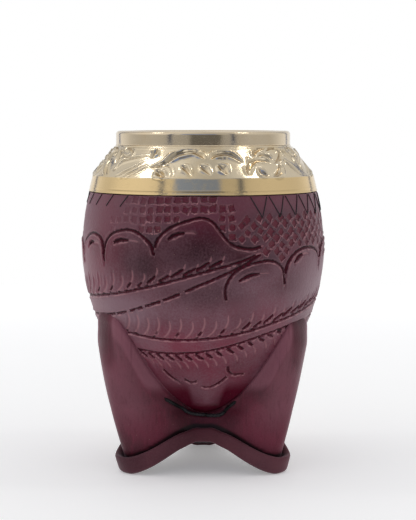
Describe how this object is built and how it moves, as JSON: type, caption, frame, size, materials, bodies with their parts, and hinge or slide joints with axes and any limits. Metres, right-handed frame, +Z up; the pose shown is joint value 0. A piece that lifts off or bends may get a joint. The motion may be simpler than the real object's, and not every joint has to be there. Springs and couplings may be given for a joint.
{
  "type": "mate cup",
  "caption": "Drinking cup made of a hollow gourd in a tooled leather jacket, with a chiselled brass collar and mouth ring, standing on a leather skirt drawn out into feet.",
  "frame": {"origin": "on the cup's upright axis, at the level of the surface that it stands on", "axes": "+Z up along the cup's axis; -Y is the front, between two feet; +X is to the right of the front"},
  "size_m": [0.084, 0.084, 0.1165],
  "materials": {
    "tooled_leather": "burgundy cowhide, tooled and waxed, with darker cuts",
    "skirt_leather": "burgundy cowhide, smooth and moulded wet",
    "welt_leather": "thick burgundy strap leather with rounded edges",
    "collar_brass": "spun brass, chiselled and polished",
    "ring_brass": "turned brass, polished",
    "gourd_wall": "dry scraped calabash, matt",
    "black_thread": "waxed black sewing thread"
  },
  "bodies": {
    "root": {"gourd_shell": "gourd_wall", "leather_jacket": "tooled_leather", "brass_collar": "collar_brass", "mouth_ring": "ring_brass", "base_skirt": "skirt_leather", "base_welt": "welt_leather", "neck_lace_right": "black_thread", "neck_lace_left": "black_thread", "front_stitch": "black_thread", "right_stitch": "black_thread", "left_stitch": "black_thread"}
  },
  "joints": []
}
